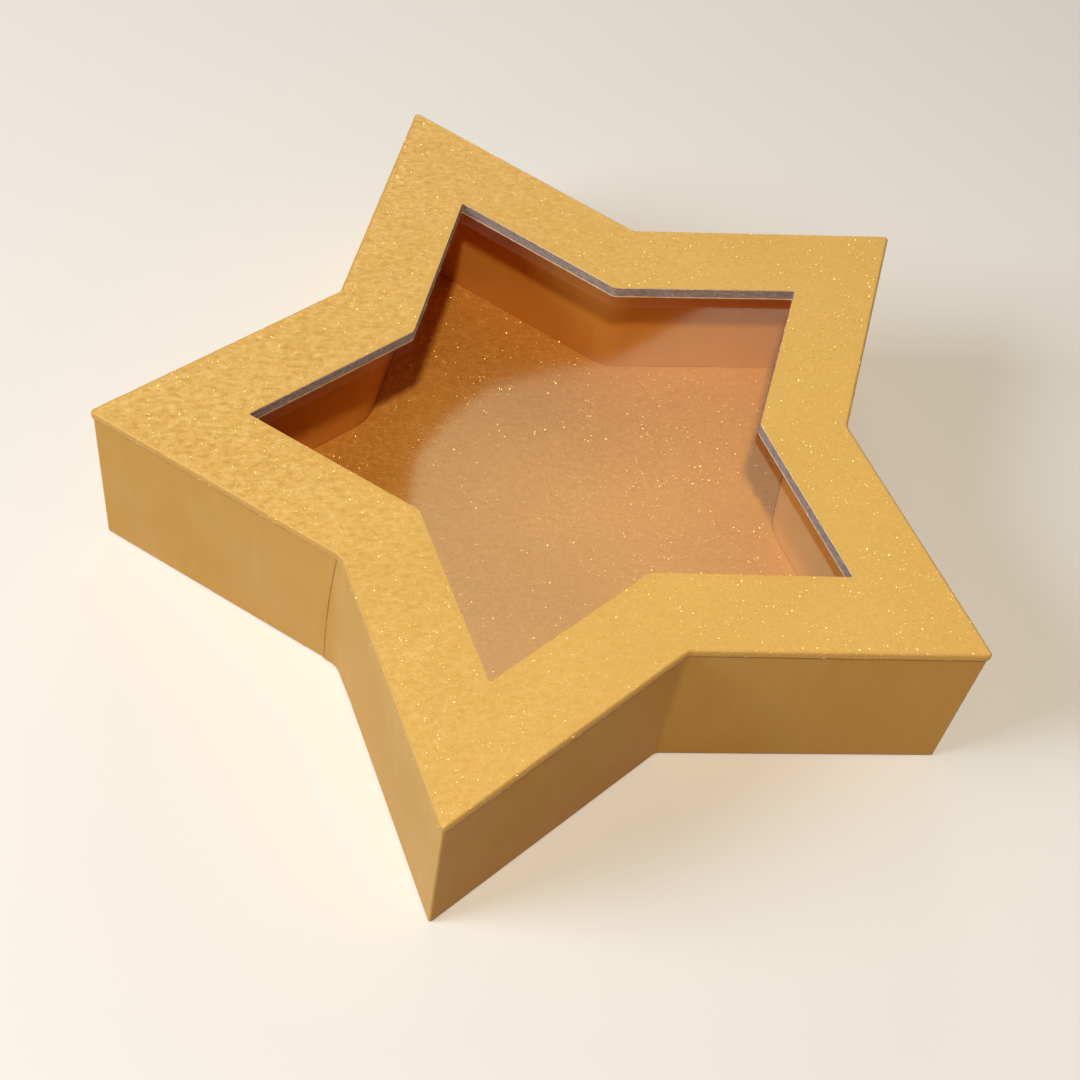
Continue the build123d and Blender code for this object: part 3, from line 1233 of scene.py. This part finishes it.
    def build_seam_edge(self) -> None:
        """A dark brown strip along the lapped end of the wrap: painted shade in the narrow gap at
        the lap's edge.
        """
        outline = self.shop.outline
        valley = outline.corner(self.seam_valley)
        along = (outline.corner(self.seam_valley + 1) - valley).normalized()
        outward = Vector((along.y, -along.x))
        if outward.dot(valley) < 0:
            outward.negate()
        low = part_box("lid_side_paper")[0][2]
        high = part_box("lid_top_paper")[0][2]
        first, middle, last = self.seam_reaches
        corners = ((-self.seam_back, -self.seam_sunk), (-self.seam_back, self.seam_proud),
                   (self.seam_width, self.seam_proud / 2), (self.seam_width, -self.seam_sunk))
        points: list[Point] = []
        for step in range(self.seam_steps + 1):
            share = step / self.seam_steps
            reach = (first * (1 - share) * (1 - 2 * share) + 4 * middle * share * (1 - share)
                     + last * share * (2 * share - 1))
            for beyond, out in corners:
                place = valley + along * (reach + beyond) + outward * out
                points.append((place.x, place.y, low + (high - low) * share))
        faces = [(0, 1, 2, 3), tuple(4 * self.seam_steps + side for side in (3, 2, 1, 0))]
        for step in range(self.seam_steps):
            for side in range(4):
                near, far = 4 * step + side, 4 * step + (side + 1) % 4
                faces.append((near, near + 4, far + 4, far))
        line = new_piece("wrap_seam_edge", points, [], faces)
        line.data.materials.append(self.shop.seam)
        face_outwards(line)
        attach(line, "lid")
        LOG.info("seam edge: %d faces", len(line.data.polygons))


@dataclass
class Tray:
    """The tray: board, side wrap, base paper and the glitter paper on its floor.

    Attributes:
        shop: Shared outline, materials and trees.
        floor_inset: Inset of the floor paper's edge from the lid's outer face.
        tip_round: Radius of the floor paper's tips.
        middle_round: Radius of the valleys of its innermost ring.
        middle_share: Share of the way to the centre where the innermost ring lies.
        rings: Number of mesh rings from the edge to the middle.
        per_edge: Steps along each straight edge.
    """

    shop: Workshop
    floor_inset: float = 7.92 * MM
    tip_round: float = 0.05 * MM
    middle_round: float = 0.2 * MM
    middle_share: float = 0.985
    rings: int = 84
    per_edge: int = 72

    def build(self) -> None:
        """Make and dress every piece of the tray."""
        shop = self.shop
        self.build_floor_paper()
        shop.dress_nodes({
            "tray_bottom_board": shop.board, "tray_wall_board": shop.board,
            "tray_side_paper": shop.shaded_tray_wrap, "tray_bottom_paper": shop.shaded_tray_wrap})

    def build_floor_paper(self) -> None:
        """The glitter paper on the floor, with its relief and flakes."""
        outline = self.shop.outline
        low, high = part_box("tray_floor_paper")
        reach = outline.edge_distance - self.floor_inset
        edge_valley = outline.valley_round + self.floor_inset
        section: list[SectionPoint] = []
        for step in range(self.rings):
            share = (self.rings - step) / self.rings
            section.append(SectionPoint(
                self.floor_inset + reach * share * self.middle_share, high[2],
                1.0 if step < self.rings - 1 else 0.4, self.tip_round,
                edge_valley * (1 - share) + self.middle_round))
        for height in (high[2], low[2]):
            section.append(SectionPoint(self.floor_inset, height, 0.0, self.tip_round,
                                        edge_valley))
        sheet = sweep("floor_glitter_paper", section, outline, self.per_edge, False)
        sheet.data.attributes.new("cut", "BOOLEAN", "FACE")
        self.shop.grow_sheet(sheet, self.shop.shaded_floor_glitter, {
            "Bump Height": 0.12 * MM, "Bump Size": 3.0 * MM, "Crease Height": 0.04 * MM,
            "Crease Size": 1.7 * MM, "Calm Share": 0.3, "Flakes Per Square Metre": 1400000.0,
            "Flake Size": 0.075 * MM, "Seed": 23,
        })
        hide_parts("tray_floor_paper")
        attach(sheet, "tray")
        LOG.info("floor paper: %d faces", len(sheet.data.polygons))


# Studio


@dataclass(frozen=True)
class Lamp:
    """A round soft lamp that points at the box.

    Attributes:
        name: Name of the lamp.
        way: Direction from the box to the lamp.
        distance: Distance from the box.
        size: Width of the lamp.
        power: Power in watts.
        colour: Colour of its light.
    """

    name: str
    way: tuple
    distance: float
    size: float
    power: float
    colour: tuple

    def hang(self) -> None:
        """Put the lamp in the scene, where the camera doesn't see it."""
        data = bpy.data.lights.new(self.name, "AREA")
        data.shape = "DISK"
        data.size = self.size
        data.energy = self.power
        data.color = self.colour
        lamp = bpy.data.objects.new(self.name, data)
        way = Vector(self.way)
        lamp.location = way.normalized() * self.distance
        lamp.rotation_euler = way.to_track_quat("Z", "Y").to_euler()
        lamp.visible_camera = False
        bpy.context.scene.collection.objects.link(lamp)


@dataclass
class Studio:
    """The table, the lamps, the bright card that the film mirrors, and the camera.

    Attributes:
        table_half: Half of the table's width.
        table_colour: Colour of the table, as it is seen.
        table_bounce: Colour of the table for the light that it throws back.
        table_near: Distance from the box where the table starts to fade.
        table_far: Distance where it has become the surround.
        surround_colour: Colour of the surround.
        surround_light: Share of the surround that lights the box.
        lamps: A small key lamp above the camera, and soft ones on the left and behind.
        card_way: Way from the window to the cards.
        card_distance: Distance of the bright card from the window.
        card_outline: Corners of the bright card, across and down in its own plane.
        card_glow: Strength of its glow, before the rise.
        card_colour: Colour of its glow.
        card_rise: Way in which it gets brighter, as shares of down and across.
        card_span: Where that rise starts and ends, from the card's middle.
        card_ends: Glow at the start and the end of the rise, as shares.
        dark_card_outline: Corners of the dark card behind it.
        window_height: Height of the film above the table.
        camera_place: Place of the camera.
        camera_turn: Turn of the camera in degrees.
        camera_lens: Focal length in millimetres on a frame of camera_frame.
        camera_frame: Width of that frame in millimetres.
        camera_shift: Shift of the frame, as in the photograph's crop.
    """

    table_half: float = 3.0
    table_colour: tuple = rgb(240, 232, 218)
    table_bounce: tuple = (0.24, 0.125, 0.05, 1.0)
    table_near: float = 0.35
    table_far: float = 1.6
    surround_colour: tuple = rgb(240, 234, 224)
    surround_light: float = 0.08
    lamps: tuple = (
        Lamp("key_lamp", (-0.241, -0.359, 0.944), 1.038, 0.06, 6.9, (1.0, 0.94, 0.84)),
        Lamp("left_lamp", (-1.0, 0.15, 0.65), 1.3, 0.7, 10.5, (0.84, 1.03, 1.3)),
        Lamp("back_lamp", (0.42, 1.0, 0.16), 1.5, 0.9, 8.0, (1.0, 0.96, 0.88)),
    )
    card_way: tuple = (0.323, 0.549, 0.771)
    card_distance: float = 1.2
    card_outline: tuple = (
        (0.16, -0.19), (0.104, -0.131), (0.062, -0.092), (0.030, -0.066), (-0.024, -0.046),
        (-0.069, -0.024), (-0.096, 0.005), (-0.120, 0.045), (-0.118, 0.137), (-0.11, 0.45),
        (0.60, 0.45), (0.60, -0.19),
    )
    card_glow: float = 1.95
    card_colour: tuple = (1.0, 1.06, 0.72, 1.0)
    card_rise: tuple = (0.85, -0.5)
    card_span: tuple = (-0.15, 0.2)
    card_ends: tuple = (0.8, 1.4)
    dark_card_outline: tuple = ((-0.5, -0.4), (-0.5, 0.5), (0.7, 0.5), (0.7, -0.4))
    window_height: float = 0.0368
    camera_place: tuple = (-0.12004, -0.19975, 0.31831)
    camera_turn: tuple = (37.339, -7.671, -22.809)
    camera_lens: float = 59.85
    camera_frame: float = 36.0
    camera_shift: tuple = (-0.05, -0.05)

    def build(self) -> None:
        """Set up the table, the light and the camera."""
        self.build_table()
        self.hang_card("bright_card", self.card_outline, self.card_distance, self.card_glow)
        self.hang_card("dark_card", self.dark_card_outline, self.card_distance * 1.02, 0.0)
        for lamp in self.lamps:
            lamp.hang()
        self.build_world()
        self.build_camera()

    @staticmethod
    def seen_share(sketch: NodeSketch) -> Socket:
        """Whether a ray is one that shows the surround, and not one that only lights.

        Args:
            sketch: A sketch on the material's or the world's tree.

        Returns:
            1 for camera, glossy and transmission rays, and 0 for the others.
        """
        path = sketch.add("ShaderNodeLightPath").outputs
        shown = sketch.math("MAXIMUM", path["Is Camera Ray"], path["Is Glossy Ray"])
        return sketch.math("MAXIMUM", shown, path["Is Transmission Ray"])

    @staticmethod
    def new_stage(name: str, points: list[Point]) -> tuple[bpy.types.Object, NodeSketch]:
        """Make a flat piece of the staging, with a material that no lamp ray looks for.

        Args:
            name: Name of the piece.
            points: Corners of its one face.

        Returns:
            The piece and a sketch on its material.
        """
        piece = new_piece(name, points, [], [tuple(range(len(points)))])
        material = bpy.data.materials.new(name)
        material.use_nodes = True
        material.cycles.emission_sampling = "NONE"
        piece.data.materials.append(material)
        return piece, NodeSketch(material.node_tree)

    def build_table(self) -> None:
        """A plain pale table that keeps the box's shadow and fades into the surround."""
        half = self.table_half
        table, sketch = self.new_stage("table", [(-half, -half, 0), (half, -half, 0),
                                                 (half, half, 0), (-half, half, 0)])
        seen = self.seen_share(sketch)
        reach = sketch.vector("LENGTH", sketch.object_place())
        faded = sketch.span(reach, self.table_near, self.table_far)
        colour = sketch.coats(self.table_bounce, (seen, self.table_colour), (faded, BLACK))
        sketch.fill(sketch.tree.nodes["Principled BSDF"], Base_Color=colour, Roughness=0.9,
                    Specular_IOR_Level=0.1, Emission_Strength=sketch.times(seen, faded),
                    Emission_Color=self.surround_colour)

    def hang_card(self, name: str, outline: tuple, distance: float, glow: float) -> None:
        """A card behind the box, seen only in the film, whose veil it shapes.

        Args:
            name: Name of the card.
            outline: Its corners, across and down in its own plane.
            distance: Distance from the window.
            glow: Strength of its glow, or 0 for a black card.
        """
        way = Vector(self.card_way).normalized()
        across = way.cross(Vector((0, 0, 1))).normalized()
        down = across.cross(way)
        middle = Vector((0.0, 0.0, self.window_height)) + way * distance
        card, sketch = self.new_stage(
            name, [tuple(middle + across * x + down * y) for x, y in outline])
        sketch.tree.nodes.clear()
        rise = down * self.card_rise[0] + across * self.card_rise[1]
        along = sketch.vector("DOT_PRODUCT", sketch.object_place(), in1=tuple(rise))
        low, high = (middle.dot(rise) + end for end in self.card_span)
        rising = sketch.span(along, low, high, *(share * glow for share in self.card_ends))
        light = sketch.value("ShaderNodeEmission", Color=self.card_colour, Strength=rising)
        sketch.add("ShaderNodeOutputMaterial", Surface=light)
        for rays in ("camera", "diffuse", "transmission", "shadow"):
            setattr(card, f"visible_{rays}", False)

    def build_world(self) -> None:
        """An even pale surround."""
        world = bpy.data.worlds.new("surround")
        world.use_nodes = True
        sketch = NodeSketch(world.node_tree)
        strength = sketch.math("MULTIPLY_ADD", self.seen_share(sketch),
                               1 - self.surround_light, self.surround_light)
        sketch.fill(world.node_tree.nodes["Background"], Color=self.surround_colour,
                    Strength=strength)
        bpy.context.scene.world = world

    def build_camera(self) -> None:
        """The camera, at the photograph's viewing angle."""
        data = bpy.data.cameras.new("camera")
        data.lens = self.camera_lens
        data.sensor_width = self.camera_frame
        data.sensor_fit = "HORIZONTAL"
        data.shift_x, data.shift_y = self.camera_shift
        data.clip_start = 0.01
        camera = bpy.data.objects.new("camera", data)
        camera.location = self.camera_place
        camera.rotation_euler = Euler([math.radians(turn) for turn in self.camera_turn])
        bpy.context.scene.collection.objects.link(camera)
        bpy.context.scene.camera = camera


def main() -> None:
    """Dress the lid and the tray, then set up the studio."""
    logging.basicConfig(level=logging.INFO, format="%(name)s: %(message)s")
    shop = Workshop()
    Lid(shop).build()
    Tray(shop).build()
    Studio().build()
    bpy.context.scene.view_settings.view_transform = "Standard"


if __name__ == "__main__":
    main()
